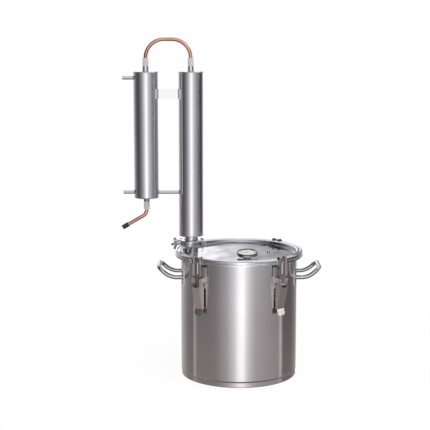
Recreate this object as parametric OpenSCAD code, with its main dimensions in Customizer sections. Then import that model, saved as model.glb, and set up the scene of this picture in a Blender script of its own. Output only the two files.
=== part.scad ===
// Pot still: a steel boiler with a clamped column, a condenser and copper vapour lines.
// Millimetres, +Z up. The origin is the middle of the base, on the surface that it stands on.
// The front is towards -Y, and the column and condenser stand on the left, towards -X.

/* [Boiler] */
// Outer diameter of the boiler shell
shell_d = 300; // [280:1:320]
// Sheet thickness of the boiler shell
shell_t = 1.2; // [0.8:0.1:1.6]
// Outer radius of the shell's lower corner
shell_corner = 4; // [3:0.5:8]
// Height of the mouth flange's upper face above the floor
mouth_h = 321; // [300:1:340]
// Width of the mouth flange beyond the shell
mouth_w = 11; // [8:0.5:12]
// Fillet under the mouth flange
mouth_fillet = 3; // [1:0.5:5]

/* [Base] */
// Height of the capped base
base_h = 13; // [9:0.5:18]
// How far the base sits inside the shell's outline
base_inset = 1; // [1:0.5:3]
// Sheet thickness of the base cap
base_t = 0.8; // [0.6:0.1:1.2]
// Radius of the base's lower edge
base_edge = 2; // [2:0.5:5]

/* [Lid] */
// Sheet thickness of the lid
lid_t = 1.2; // [0.9:0.1:1.4]
// How far the rim stands out beyond the shell
lid_over = 15; // [14:0.5:18]
// Depth of the plate below the rim's top
lid_recess = 10; // [8:0.5:14]
// Radial gap between the recess and the shell's inside
lid_gap = 1.1; // [0.6:0.1:2]
// Inner radius where the plate turns up
lid_corner = 3; // [1.5:0.5:4]
// Outer radius of the rolled bead on the rim
bead_r = 4.2; // [3.6:0.1:4.6]
// Height of the bead and ridge above the crown
bead_rise = 1.4; // [1:0.1:2]
// Height of the skirt from the rim's top
skirt_h = 14; // [10:0.5:18]
// Radius of the pressed ridge inside the bead
ridge_r = 6; // [5:0.5:7]
// Distance from the ridge's crest to the recess wall
ridge_in = 6; // [5.5:0.5:7]
// Thickness of the lid gasket
gasket_h = 4.4; // [3:0.2:6]
// Width of the lid gasket
gasket_w = 6.2; // [4:0.2:6.6]

/* [Handles] */
// Tube diameter of a handle
handle_d = 11; // [9:0.5:13]
// Tube wall of a handle
handle_t = 1.2; // [0.8:0.1:2]
// Distance between the two legs of a handle
handle_span = 86; // [76:1:100]
// Distance from the rim's top down to the legs
handle_drop = 65.5; // [56:0.5:90]
// Distance from the shell to the knee of a leg
handle_knee = 28; // [24:0.5:30]
// Distance from the shell to the axis of the grip
handle_reach = 56; // [54:1:66]
// Rise of the grip above the legs
handle_rise = 25; // [20:0.5:30]
// Bend radius between a leg and the grip
handle_bend = 16; // [13:0.5:17]
// Bend radius of a leg's knee
knee_bend = 48; // [40:1:50]
// Width of a handle plate
plate_w = 16; // [14:0.5:20]
// Height of a handle plate
plate_h = 38; // [36:1:46]
// Thickness of a handle plate
plate_t = 1.8; // [1.2:0.1:2.5]
// Distance between the two rivets of a plate
plate_rivet_pitch = 27.4; // [24:0.2:29]

/* [Rivets] */
// Shank diameter of a rivet
rivet_d = 4; // [3:0.1:4.6]
// Head diameter of a rivet
rivet_head_d = 8; // [6.5:0.1:9]
// Head height of a rivet
rivet_head_h = 1.6; // [1.2:0.1:2.2]
// Gap under a rivet's head on the curved wall
rivet_seat = 0.1; // [0.08:0.01:0.2]

/* [Latches] */
// Angle of each latch from the front or the back
latch_spread = 40; // [36:0.5:46]
// Distance from the rim's top down to the lever's pivot
latch_drop = 55; // [52:0.5:66]
// Distance from the lever's pivot to the draw pin
latch_throw = 11; // [10:0.5:13]
// Angle by which the closed lever is past its dead point
latch_past = 3; // [0:0.5:4]
// Gap between the rim and the hook's plate
hook_gap = 0.6; // [0.5:0.1:1]
// Gap between the rim's top and the hook's lip
lip_gap = 0.35; // [0.3:0.05:0.6]
// Sheet thickness of the hook
hook_t = 1.6; // [1.4:0.1:2]
// Width of the hook
hook_w = 25; // [24.5:0.5:28]
// Width of the hook's tongue
tongue_w = 20.4; // [18:0.2:21]
// How far the lip reaches inwards over the rim
lip_reach = 8; // [6:0.5:10]
// Depth of the hook's side flanges
hook_flange = 5.9; // [4:0.1:7]
// Radius of the rib pressed in the hook
hook_rib_r = 5.7; // [5:0.1:6.5]
// Radius of the two knuckle ribs over the hook's corner
knuckle_r = 2.4; // [2:0.1:2.6]
// Radius of the hook's rolled eye
eye_r = 3.4; // [3.1:0.1:3.8]
// Sheet thickness of the latch base
ear_t = 1.5; // [1.2:0.1:1.8]
// Radius of the base's ears round the pivot
ear_r = 4.5; // [4:0.1:4.8]
// Height of the base plate
latch_base_h = 54; // [48:1:58]
// Width of the base plate
latch_base_w = 34; // [30:0.5:38]
// Gap between the lever and the ears
ear_gap = 0.3; // [0.3:0.05:0.6]
// Sheet thickness of the lever
lever_t = 1.2; // [1:0.1:1.4]
// Gap between the tongue and the lever
lever_gap = 0.3; // [0.3:0.05:0.5]
// Height of the lever's face from its upper to its lower edge
lever_l = 56; // [46:1:60]
// Height of the thumb tab
tab_l = 16.5; // [14:0.5:20]
// Width of the thumb tab
lever_end_w = 23.4; // [21:0.2:25]
// Diameter of the pivot and draw pins
pin_d = 4; // [3.4:0.1:4.4]
// Radial play of a turning pin
pin_play = 0.05; // [0.02:0.01:0.09]

/* [Pipe joint] */
// Distance from the boiler's wall in to the column's axis
column_inset = 26.5; // [24:0.5:32]
// Outer diameter of the ferrule tube
ferrule_tube_d = 33.7; // [32:0.1:36]
// Wall of the ferrule tube
ferrule_tube_t = 1.5; // [1.2:0.1:2]
// Diameter of the ferrule's flange
ferrule_d = 50.5; // [49:0.1:52]
// Height of the lid's ferrule above the lid
lid_ferrule_h = 26; // [25.5:0.1:30]
// Height of the ferrule under the column
column_ferrule_h = 18; // [17.8:0.1:24]
// Thickness of the flange at its edge
ferrule_lip = 2.85; // [2.4:0.05:3.2]
// Angle of the flange's back
ferrule_slope = 20; // [18:1:22]
// Thickness of the clamp gasket
seal_t = 2; // [1.5:0.1:2.5]
// Outer diameter of the clamp
clamp_d = 55; // [54.5:0.1:58]
// Height of the clamp
clamp_h = 15; // [14.5:0.1:17]
// Play between the clamp and the flanges
clamp_play = 0.1; // [0.05:0.01:0.2]
// Angle of the clamp's hinge from the right, towards the front
clamp_turn = 25; // [15:1:35]
// Gap between the two clamp halves
clamp_split = 2.4; // [1.6:0.1:4]
// Distance from the clamp's axis to its hinge pin
clamp_hinge_off = 33; // [32.5:0.1:35]
// Distance from the clamp's axis to its bolt
clamp_bolt_off = 34; // [33.6:0.1:37]
// Diameter of the clamp bolt
bolt_d = 6.4; // [5.6:0.1:7]
// Diameter of the clamp's pins
clamp_pin_d = 4; // [3:0.1:4.4]
// Gap between a clamp lug and what it holds
lug_gap = 0.3; // [0.2:0.05:0.5]
// Radius of the wing nut's hub
nut_r = 6.4; // [6:0.1:7]
// Length of the wing nut's hub
nut_l = 9; // [8:0.5:11]
// Radius that the wings turn through
wing_reach = 15.6; // [13:0.1:16]

/* [Column] */
// Outer diameter of the column
column_d = 62.5; // [56:0.5:64]
// Wall of the column and the condenser
column_t = 1.2; // [0.8:0.1:2]
// Length of the column with its caps
column_l = 422; // [400:1:450]
// Thickness of an end cap
cap_t = 2.5; // [2.2:0.1:4]
// Radius of an end cap's edge
cap_edge = 2; // [1:0.1:2.1]
// Height of the packing screen above the column's foot
screen_h = 24; // [15:1:40]
// Thickness of the packing screen
screen_t = 1; // [0.6:0.1:2]
// Hole diameter of the packing screen
screen_hole_d = 5; // [3:0.1:6]
// Height of the copper packing
packing_l = 220; // [150:5:260]
// Thickness of one wrap of the packing
packing_t = 0.3; // [0.2:0.05:0.6]

/* [Condenser] */
// Outer diameter of the condenser
condenser_d = 62.5; // [56:0.5:64]
// Length of the condenser with its caps
condenser_l = 323; // [300:1:350]
// Distance between the axes of column and condenser
condenser_gap = 114.5; // [108:0.5:124]
// Outer diameter of a cooling tube
cool_d = 10; // [8:0.1:12]
// Wall of a cooling tube
cool_t = 0.8; // [0.6:0.1:1.2]
// Distance between neighbouring cooling tubes
cool_pitch = 16; // [14:0.1:18]
// Distance from a cap's outer face to the tube plate behind it
header_h = 8.5; // [6.5:0.1:9]
// Thickness of a tube plate
tube_plate_t = 1.5; // [1:0.1:2]
// Number of baffles
baffle_n = 3; // [1:1:5]
// Thickness of a baffle
baffle_t = 1; // [0.8:0.1:2]
// Play of a baffle on its tubes and in the shell
baffle_play = 0.1; // [0.05:0.01:0.2]
// Outer diameter of a water nozzle
water_d = 9.5; // [8:0.1:11]
// Wall of a water nozzle
water_t = 1; // [0.8:0.1:1.5]
// Length of a water nozzle outside the condenser
water_l = 28; // [24:0.5:36]
// Width of the groove at the root of a water nozzle
water_root_w = 1.5; // [1:0.1:3]
// Depth of that groove
water_root_t = 0.3; // [0.2:0.05:0.4]
// Distance from the condenser's top to the upper nozzle
water_top = 16; // [16:0.5:40]
// Distance from the condenser's foot to the lower nozzle
water_foot = 14.5; // [14.5:0.5:40]

/* [Links] */
// Diameter of the lower brace
brace_d = 9.5; // [8:0.1:11]
// Distance from the top of the tubes to the bracket's upper edge
bracket_drop = 44; // [30:1:120]
// Height of the bracket
bracket_h = 24.5; // [20:0.5:32]
// Sheet thickness of the bracket
bracket_t = 1.6; // [1.2:0.1:2.5]
// Angle that a bracket saddle covers
saddle_turn = 64; // [50:1:90]

/* [Vapour line] */
// Outer diameter of the copper pipe
copper_d = 9.5; // [8:0.1:9.9]
// Wall of the copper pipe
copper_t = 1; // [0.7:0.1:1.5]
// Outer diameter of a pipe stub
stub_d = 10.5; // [10:0.1:11.4]
// Wall of a pipe stub
stub_t = 1; // [0.7:0.1:1.5]
// Length of a stub above its cap
stub_l = 25; // [23:0.5:30]
// Height of the collar at the foot of a stub
stub_collar_h = 13; // [8:0.5:14]
// Outer diameter of a soft sleeve
sleeve_d = 15; // [14:0.1:17]
// Radial play of a sleeve on its stub
sleeve_play = 0.05; // [0.02:0.01:0.09]
// Gap between a sleeve's end and the cap or collar it meets
sleeve_gap = 0.3; // [0.3:0.05:0.6]
// Length of an arch sleeve
arch_sleeve_l = 20.5; // [18:0.5:26]
// Bend radius of the arch
arch_bend = 47; // [44:0.5:54]
// Gap between the end of a stub and the end of a copper pipe
pipe_gap = 0.5; // [0.3:0.1:2]

/* [Spout] */
// Diameter of the collar at the foot of a stub or of the outlet
collar_d = 15; // [13:0.5:18]
// Height of the outlet collar
collar_h = 9; // [6:0.5:14]
// Length of the outlet stub below the collar
outlet_l = 14; // [10:0.5:18]
// Length of the outlet sleeve
outlet_sleeve_l = 21; // [18.5:0.5:28]
// Bend radius of the spout
spout_bend = 20; // [18:0.5:30]
// Angle of the spout from straight down
spout_turn = 60; // [40:1:75]
// Length of the spout's straight end
spout_l = 58; // [40:1:64]
// Outer diameter of the spout cap
spout_cap_d = 12; // [11.6:0.1:15]
// Length of the spout cap
spout_cap_l = 17; // [12:0.5:24]
// Thickness of the cap's end
spout_cap_t = 2; // [1:0.1:3]

/* [Thermometer] */
// Distance from the boiler's axis to the right
dial_x = 20; // [10:1:30]
// Distance from the boiler's axis to the front
dial_y = 52; // [40:1:70]
// Angle by which the head leans to the front
dial_tilt = 8; // [4:0.5:8]
// Outer diameter of the case
case_d = 54; // [48:0.5:56]
// Wall of the case
case_t = 1; // [0.7:0.1:1.2]
// Height of the case below its bezel
case_h = 6.2; // [6.2:0.1:8]
// Height of the case's back above the lid, on its axis
case_stand = 4.7; // [4.4:0.1:8]
// Height of the bezel
bezel_h = 2.5; // [2.2:0.1:4]
// Width of the bezel's lip
bezel_lip = 3.4; // [3:0.1:6]
// Thickness of the lens
lens_t = 1.2; // [0.8:0.1:1.4]
// Thickness of the dial
dial_t = 0.6; // [0.4:0.1:0.8]
// Height of the dial above the case's back
dial_h = 4.2; // [3.6:0.1:4.4]
// Play of dial and lens in the case
dial_play = 0.1; // [0.05:0.01:0.2]
// Thickness of the needle
needle_t = 0.5; // [0.3:0.1:0.6]
// Gap between dial and needle
needle_gap = 0.4; // [0.3:0.05:0.5]
// Length of the needle's pointing arm
needle_l = 19; // [15:0.5:21]
// Diameter of the needle's shaft
needle_shaft_d = 1.6; // [1:0.1:2]
// Diameter of the stem
stem_d = 6; // [4:0.1:8]
// Length of the stem below the lid
stem_l = 100; // [70:1:150]
// Diameter of the stem's threaded shank
shank_d = 12; // [10:0.1:14]
// Length of the shank below the lid
shank_l = 11; // [9:0.5:20]
// Diameter of the collar that stands on the lid
stem_collar_d = 20; // [18:0.5:26]
// Width of the nut across its flats
stem_nut_w = 19; // [18:0.5:24]
// Height of the nut
stem_nut_h = 5; // [4:0.5:8]

/* [Relief plug] */
// Distance from the boiler's axis to the right
plug_x = 77; // [65:1:90]
// Distance from the boiler's axis to the back
plug_y = 12; // [0:1:30]
// Diameter of the plug's head
plug_d = 9; // [8:0.1:14]
// Height of the plug's head
plug_h = 4; // [3:0.1:5]
// Diameter of the plug's shank
plug_shank_d = 6; // [4:0.1:7]
// Length of the shank below the lid
plug_shank_l = 7; // [4:0.5:12]

/* [Hidden] */
$fn = 72;
over = 1;
lap = 0.4;
seam = 0.05;

steel = [0.72, 0.72, 0.73];
bright = [0.82, 0.82, 0.83];
dark_steel = [0.52, 0.52, 0.54];
copper = [0.76, 0.47, 0.36];
silicone = [0.90, 0.90, 0.87];
black = [0.08, 0.08, 0.08];
alloy = [0.78, 0.79, 0.80];
white = [0.95, 0.94, 0.91];
glass = [0.85, 0.92, 0.95, 0.35];

shell_r = shell_d / 2;
shell_in_r = shell_r - shell_t;
base_r = shell_r - base_inset;

crown_z = mouth_h + gasket_h;
crown_top_z = crown_z + lid_t;
rim_z = crown_top_z + bead_rise;
lid_r = shell_r + lid_over;
plate_z = rim_z - lid_recess;
plate_under_z = plate_z - lid_t;
recess_out_r = shell_in_r - lid_gap;
recess_r = recess_out_r - lid_t;
bead_x = lid_r - bead_r;
bead_z = rim_z - bead_r;
ridge_x = recess_r + ridge_in;
gasket_in_r = recess_out_r + lid_gap;

handle_z = rim_z - handle_drop;
plate_out_r = shell_r + plate_t;
leg_y = handle_span / 2;
leg_angle = asin(leg_y / shell_r);

rivet_r = rivet_d / 2;
rivet_angles_z = [for (side = [0, 180], leg = [-1, 1]) side + leg * leg_angle];

latch_names = ["fl", "fr", "rr", "rl"];
latch_angles = [-90 - latch_spread, -90 + latch_spread, 90 - latch_spread, 90 + latch_spread];
hook_u = lid_r + hook_gap;
hook_out_u = hook_u + hook_t;
draw_u = hook_u + hook_t / 2;
pivot_u = draw_u + latch_throw * sin(latch_past);
pivot_z = rim_z - latch_drop;
draw_z = pivot_z - latch_throw * cos(latch_past);
tongue_half = tongue_w / 2;
lever_in = tongue_half + lever_gap;
lever_half = lever_in + lever_t;
ear_in = lever_half + ear_gap;
ear_out = ear_in + ear_t;
latch_base_r = shell_r + ear_t;
latch_rivet_inset = 5;
latch_base_z = pivot_z - latch_base_h * 0.4;
latch_rivet_zs = [latch_base_z + latch_rivet_inset, latch_base_z + latch_base_h - latch_rivet_inset];
lip_z = rim_z + lip_gap;
pin_r = pin_d / 2;
pin_head_r = pin_r + 1.3;
pin_head_h = 1.1;
flare_z = pivot_z + ear_r + 1;
flare_h = 5.5;
lever_top = [draw_u + 5.6, draw_z - 7];
lever_foot = [shell_r + 8.5, lever_top.y - lever_l];
lever_back = shell_r + 3.8;
tab_end = [lever_foot.x + 4, lever_foot.y - tab_l];
tab_corner = 6;

column_x = column_inset - shell_r;
column_r = column_d / 2;
column_in_r = column_r - column_t;
ferrule_r = ferrule_d / 2;
ferrule_tube_r = ferrule_tube_d / 2;
ferrule_bore_r = ferrule_tube_r - ferrule_tube_t;
seal_z = plate_z + lid_ferrule_h;
joint_z = seal_z + seal_t / 2;
foot_z = seal_z + seal_t + column_ferrule_h;
top_z = foot_z + column_l;

clamp_r = clamp_d / 2;
clamp_bore_r = ferrule_tube_r + 2;
lug_h = 3.6;
lug_wall = 4;
lug_clear_h = clamp_h - 2 * lug_h;
clamp_pin_r = clamp_pin_d / 2;
bolt_r = bolt_d / 2;
bolt_pivot_y = 10;
bolt_end_y = -42;
seat_y = -14;

condenser_x = column_x - condenser_gap;
condenser_r = condenser_d / 2;
condenser_in_r = condenser_r - column_t;
condenser_foot_z = top_z - condenser_l;
upper_plate_z = top_z - header_h - tube_plate_t;
lower_plate_z = condenser_foot_z + header_h - tube_plate_t;
cool_r = cool_d / 2;
cool_spots = concat([[0, 0]], [for (a = [0 : 60 : 300]) cool_pitch * [cos(a), sin(a)]]);
baffle_step = (upper_plate_z - lower_plate_z) / (baffle_n + 1);
baffle_cut = condenser_in_r * 0.45;
water_r = water_d / 2;
water_root_r = water_r - water_root_t;
water_zs = [top_z - water_top, condenser_foot_z + water_foot];

copper_r = copper_d / 2;
stub_r = stub_d / 2;
sleeve_r = sleeve_d / 2;
sleeve_bore_r = stub_r + sleeve_play;
arch_foot_z = top_z + stub_l + pipe_gap;
stub_sleeve_z = top_z + stub_collar_h + sleeve_gap;
arch_z = stub_sleeve_z + arch_sleeve_l;

collar_z = condenser_foot_z - collar_h;
outlet_end_z = collar_z - outlet_l;
outlet_sleeve_z = collar_z - sleeve_gap - outlet_sleeve_l;
spout_start_z = outlet_end_z - pipe_gap;
spout_dir = [-sin(spout_turn), 0, -cos(spout_turn)];
spout_knee = [condenser_x, 0, outlet_sleeve_z - spout_bend * tan(spout_turn / 2)];
spout_end = spout_knee + spout_dir * (spout_bend * tan(spout_turn / 2) + spout_l);

case_r = case_d / 2;
bezel_z = case_h;
dial_r = case_r - case_t - dial_play;
needle_z = dial_h + dial_t + needle_gap;
needle_hub_r = 2.2;
needle_arm_r = 0.9;
needle_tip_r = 0.3;

function unit(v) = v / norm(v);
function square_to(d) = unit(cross(d, abs(d.z) < 0.9 ? [0, 0, 1] : [0, 1, 0]));
function frame(o, x, z) =
    let (y = cross(z, x))
    [[x.x, y.x, z.x, o.x], [x.y, y.y, z.y, o.y], [x.z, y.z, z.z, o.z], [0, 0, 0, 1]];

// A straight pipe from the origin up; ri of 0 makes a bar
module pipe(ro, ri, h) {
    difference() {
        cylinder(r = ro, h = h);
        if (ri > 0)
            translate([0, 0, -over]) cylinder(r = ri, h = h + 2 * over);
    }
}

module ring_face(ro, ri) {
    difference() {
        circle(r = ro);
        if (ri > 0)
            circle(r = ri);
    }
}

// A straight bar between two points
module rod(p, q, r) {
    d = q - p;
    if (norm(d) > 0.01)
        multmatrix(frame(p, square_to(unit(d)), unit(d))) cylinder(r = r, h = norm(d));
}

// A straight pipe between two points
module tube(p, q, ro, ri) {
    d = unit(q - p);
    difference() {
        rod(p, q, ro);
        rod(p - d * over, q + d * over, ri);
    }
}

// A bend that starts at a point along d1 and leaves along d2
module elbow(start, d1, d2, bend_r, r) {
    axis = unit(cross(d1, d2));
    inward = cross(axis, d1);
    multmatrix(frame(start + bend_r * inward, -inward, axis))
        rotate_extrude(angle = acos(d1 * d2)) translate([bend_r, 0]) circle(r = r);
}

// A bar along a line of points, with a bend radius for each corner; straight parts lap into the bends
module bent_bar(points, bends, r, extra = 0) {
    last = len(points) - 1;
    dirs = [for (i = [0 : last - 1]) unit(points[i + 1] - points[i])];
    trims = [for (i = [0 : last])
        i == 0 || i == last ? lap - extra : bends[i - 1] * tan(acos(dirs[i - 1] * dirs[i]) / 2)];
    for (i = [0 : last - 1])
        rod(points[i] + dirs[i] * (trims[i] - lap), points[i + 1] - dirs[i] * (trims[i + 1] - lap), r);
    for (i = [1 : last - 1])
        elbow(points[i] - dirs[i - 1] * trims[i], dirs[i - 1], dirs[i], bends[i - 1], r + seam);
}

module bent_pipe(points, bends, ro, ri) {
    difference() {
        bent_bar(points, bends, ro);
        bent_bar(points, bends, ri, over);
    }
}

// Half section of a cup with a rounded lower corner, filled to the axis
module cup_section(r, z0, z1, corner) {
    translate([0, z0]) square([r - corner, z1 - z0]);
    translate([0, z0 + corner]) square([r, z1 - z0 - corner]);
    translate([r - corner, z0 + corner]) intersection() {
        circle(r = corner);
        translate([-corner / 2, -corner]) square([2 * corner, corner * 1.1]);
    }
}

// A sheet lying on the boiler wall, facing +X
module wall_sheet(width, height, thickness) {
    intersection() {
        pipe(shell_r + thickness, shell_r, height);
        translate([0, -width / 2, -over]) cube([shell_r * 2, width, height + 2 * over]);
    }
}

// A bar with round ends, from z0 to z1
module capsule(z0, z1, r) {
    rotate_extrude() intersection() {
        union() {
            translate([0, z0]) circle(r = r);
            translate([0, z1]) circle(r = r);
            translate([-r, z0]) square([2 * r, z1 - z0]);
        }
        translate([0, z0 - r]) square([r, z1 - z0 + 2 * r]);
    }
}

module at_latch(side) {
    rotate([0, 0, latch_angles[search([side], latch_names)[0]]]) children();
}

// A plate drawn in the plane of height and distance from the axis
module upright(thickness, side) {
    translate([0, side, 0]) rotate([90, 0, 0]) linear_extrude(thickness, center = true) children();
}

module rivet_shanks(r) {
    for (a = rivet_angles_z, dz = [-1, 1])
        rotate([0, 0, a]) translate([shell_in_r - rivet_head_h, 0, handle_z + dz * plate_rivet_pitch / 2])
            rotate([0, 90, 0]) cylinder(r = r, h = rivet_head_h + shell_t + plate_t);
    for (side = latch_names, z = latch_rivet_zs)
        at_latch(side) translate([shell_in_r - rivet_head_h, 0, z])
            rotate([0, 90, 0]) cylinder(r = r, h = rivet_head_h + shell_t + ear_t);
}

// A rivet with a domed head outside and a flat upset inside, facing +X
module rivet(seat_r) {
    dome_r = (pow(rivet_head_d / 2, 2) + pow(rivet_head_h, 2)) / (2 * rivet_head_h);
    upset_h = rivet_head_h / 2;
    start_r = shell_in_r - rivet_seat - upset_h;
    translate([start_r, 0, 0]) rotate([0, 90, 0]) rotate_extrude() {
        square([rivet_head_d * 0.42, upset_h]);
        square([rivet_r, seat_r - start_r + rivet_head_h / 2]);
        intersection() {
            translate([0, seat_r - start_r + rivet_head_h - dome_r]) circle(r = dome_r);
            translate([0, seat_r - start_r]) square([rivet_head_d, rivet_head_h + over]);
        }
    }
}

module rivets() {
    color(bright) {
        for (a = rivet_angles_z, dz = [-1, 1])
            rotate([0, 0, a]) translate([0, 0, handle_z + dz * plate_rivet_pitch / 2]) rivet(plate_out_r);
        for (side = latch_names, z = latch_rivet_zs)
            at_latch(side) translate([0, 0, z]) rivet(latch_base_r);
    }
}

module boiler_shell() {
    color(steel) difference() {
        rotate_extrude() {
            difference() {
                cup_section(shell_r, base_h, mouth_h, shell_corner);
                cup_section(shell_in_r, base_h + shell_t, mouth_h + over, shell_corner - shell_t);
            }
            translate([shell_in_r, mouth_h - shell_t]) square([shell_t + mouth_w, shell_t]);
            translate([shell_r, mouth_h - shell_t - mouth_fillet]) difference() {
                square(mouth_fillet);
                translate([mouth_fillet, 0]) circle(r = mouth_fillet);
            }
        }
        rivet_shanks(rivet_r);
    }
}

module base_cap() {
    color(bright) rotate_extrude() difference() {
        cup_section(base_r, 0, base_h, base_edge);
        cup_section(base_r - base_t, base_t, base_h + over, base_edge - base_t);
    }
}

module base_core() {
    color(alloy) rotate_extrude() cup_section(base_r - base_t, base_t, base_h, base_edge - base_t);
}

module handle(side) {
    start_x = shell_r * cos(leg_angle) - 2;
    knee_x = shell_r + handle_knee;
    grip_x = shell_r + handle_reach;
    grip_z = handle_z + handle_rise;
    leg = [[start_x, handle_z], [knee_x, handle_z], [grip_x, grip_z]];
    front = [for (p = leg) [p.x, -leg_y, p.y]];
    back = [for (i = [2, 1, 0]) [leg[i].x, leg_y, leg[i].y]];
    bends = [knee_bend, handle_bend, handle_bend, knee_bend];
    color(bright) difference() {
        rotate([0, 0, side]) bent_pipe(concat(front, back), bends, handle_d / 2, handle_d / 2 - handle_t);
        translate([0, 0, handle_z - handle_d]) cylinder(r = plate_out_r, h = 2 * handle_d);
    }
}

module handle_plates() {
    color(bright) difference() {
        for (a = rivet_angles_z)
            rotate([0, 0, a]) translate([0, 0, handle_z - plate_h / 2]) wall_sheet(plate_w, plate_h, plate_t);
        rivet_shanks(rivet_r);
    }
}

module lid_section() {
    difference() {
        cup_section(recess_out_r, plate_under_z, crown_top_z, lid_corner + lid_t);
        cup_section(recess_r, plate_z, crown_top_z + over, lid_corner);
    }
    translate([recess_r, crown_z]) square([bead_x - bead_r + lid_t - recess_r, lid_t]);
    intersection() {
        translate([ridge_x, rim_z - ridge_r]) circle(r = ridge_r);
        translate([recess_r, crown_z]) square([2 * ridge_in, lid_t + bead_rise]);
    }
    intersection() {
        translate([bead_x, bead_z]) ring_face(bead_r, bead_r - lid_t);
        translate([bead_x - bead_r, bead_z]) square(2 * bead_r);
    }
    translate([lid_r - lid_t, rim_z - skirt_h]) square([lid_t, skirt_h - bead_r]);
}

module lid() {
    color(bright) difference() {
        rotate_extrude() lid_section();
        translate([column_x, 0, plate_under_z - over]) cylinder(r = ferrule_tube_r, h = lid_t + 2 * over);
        translate([dial_x, -dial_y, plate_under_z - over]) cylinder(d = shank_d, h = lid_t + 2 * over);
        translate([plug_x, plug_y, plate_under_z - over])
            cylinder(r = plug_shank_d / 2 + pin_play, h = lid_t + 2 * over);
    }
}

module lid_gasket() {
    color(silicone) translate([0, 0, mouth_h]) pipe(gasket_in_r + gasket_w, gasket_in_r, gasket_h);
}

// Ferrule with its flange's face at the top, from z0 up to 0
module ferrule(h) {
    slope = tan(ferrule_slope) * (ferrule_r - ferrule_tube_r);
    color(bright) rotate_extrude()
        polygon([[ferrule_bore_r, 0], [ferrule_r, 0], [ferrule_r, -ferrule_lip], [ferrule_tube_r, -ferrule_lip - slope],
            [ferrule_tube_r, -h], [ferrule_bore_r, -h]]);
}

module lid_ferrule() {
    translate([column_x, 0, seal_z]) ferrule(seal_z - plate_under_z);
}

module clamp_gasket() {
    color(silicone) translate([column_x, 0, seal_z]) pipe(ferrule_r, ferrule_bore_r, seal_t);
}

module column_ferrule() {
    translate([column_x, 0, seal_z + seal_t]) mirror([0, 0, 1]) ferrule(column_ferrule_h);
}

module at_clamp() {
    translate([column_x, 0, joint_z]) rotate([0, 0, -clamp_turn]) children();
}

// The clamp's ring with its groove for the two flanges
module clamp_ring() {
    edge = ferrule_lip + seal_t / 2 + clamp_play;
    slope = tan(ferrule_slope);
    root_r = ferrule_r + clamp_play;
    inner = clamp_bore_r - over;
    corner = 2;
    rotate_extrude() difference() {
        union() {
            translate([clamp_bore_r, -clamp_h / 2]) square([clamp_r - corner - clamp_bore_r, clamp_h]);
            translate([clamp_bore_r, corner - clamp_h / 2]) square([clamp_r - clamp_bore_r, clamp_h - 2 * corner]);
            for (s = [-1, 1])
                translate([clamp_r - corner, s * (clamp_h / 2 - corner)]) circle(r = corner);
        }
        polygon([[inner, edge + slope * (root_r - inner)], [root_r, edge], [root_r, -edge],
            [inner, -edge - slope * (root_r - inner)]]);
    }
}

// One half of the ring: side is -1 for the front and 1 for the rear
module clamp_half_ring(side) {
    intersection() {
        clamp_ring();
        translate([-clamp_r - over, side > 0 ? clamp_split / 2 : -clamp_r - over - clamp_split / 2, -clamp_h])
            cube([2 * (clamp_r + over), clamp_r + over, 2 * clamp_h]);
    }
}

// A hinge leaf: a knuckle round the pin and a web back to the ring
module hinge_leaf(z0, h, side) {
    leaf_r = clamp_pin_r + 2.2;
    web = clamp_hinge_off - clamp_r + 5;
    translate([0, 0, z0]) {
        translate([clamp_hinge_off, 0, 0]) cylinder(r = leaf_r, h = h);
        translate([clamp_hinge_off - web, side > 0 ? 0 : -leaf_r, 0]) cube([web, leaf_r, h]);
    }
}

module clamp_cut() {
    translate([0, 0, -clamp_h]) cylinder(r = clamp_r - 1, h = 2 * clamp_h);
}

module hinge_pin_hole() {
    translate([clamp_hinge_off, 0, -clamp_h]) cylinder(r = clamp_pin_r, h = 2 * clamp_h);
}

module clamp_half_front() {
    lug_x = clamp_bolt_off + nut_r;
    color(bright) at_clamp() {
        clamp_half_ring(-1);
        difference() {
            for (z = [-clamp_h / 2, clamp_h / 2 - lug_h])
                hinge_leaf(z, lug_h, -1);
            clamp_cut();
            hinge_pin_hole();
        }
        difference() {
            translate([-lug_x, seat_y, -clamp_h / 2])
                cube([lug_x - clamp_r + 10, -seat_y - clamp_split / 2, clamp_h]);
            clamp_cut();
            translate([-lug_x - over, seat_y - over, -bolt_r - lug_gap])
                cube([lug_x - clamp_bolt_off + over + bolt_r + lug_gap, -seat_y + over, 2 * (bolt_r + lug_gap)]);
        }
    }
}

module clamp_half_rear() {
    lug_x = clamp_bolt_off + clamp_pin_r + lug_wall - 1;
    color(bright) at_clamp() {
        clamp_half_ring(1);
        difference() {
            hinge_leaf(-lug_clear_h / 2 + lug_gap, lug_clear_h - 2 * lug_gap, 1);
            clamp_cut();
            hinge_pin_hole();
        }
        difference() {
            translate([-lug_x, clamp_split / 2, -clamp_h / 2])
                cube([lug_x - clamp_r + 10, bolt_pivot_y + lug_wall, clamp_h]);
            clamp_cut();
            translate([-lug_x - over, 0, -lug_clear_h / 2])
                cube([lug_x - clamp_r + over, 2 * bolt_pivot_y + lug_wall, lug_clear_h]);
            translate([-clamp_bolt_off, bolt_pivot_y, -clamp_h]) cylinder(r = clamp_pin_r, h = 2 * clamp_h);
        }
    }
}

// A plain pin with a low head on each end
module headed_pin(r, h) {
    head = 0.8;
    translate([0, 0, -h / 2]) cylinder(r = r, h = h);
    for (s = [-1, 1])
        translate([0, 0, s > 0 ? h / 2 : -h / 2 - head]) cylinder(r = r + 0.9, h = head);
}

module clamp_pins() {
    color(steel) at_clamp() {
        translate([clamp_hinge_off, 0, 0]) headed_pin(clamp_pin_r, clamp_h);
        translate([-clamp_bolt_off, bolt_pivot_y, 0]) headed_pin(clamp_pin_r, clamp_h);
    }
}

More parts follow.
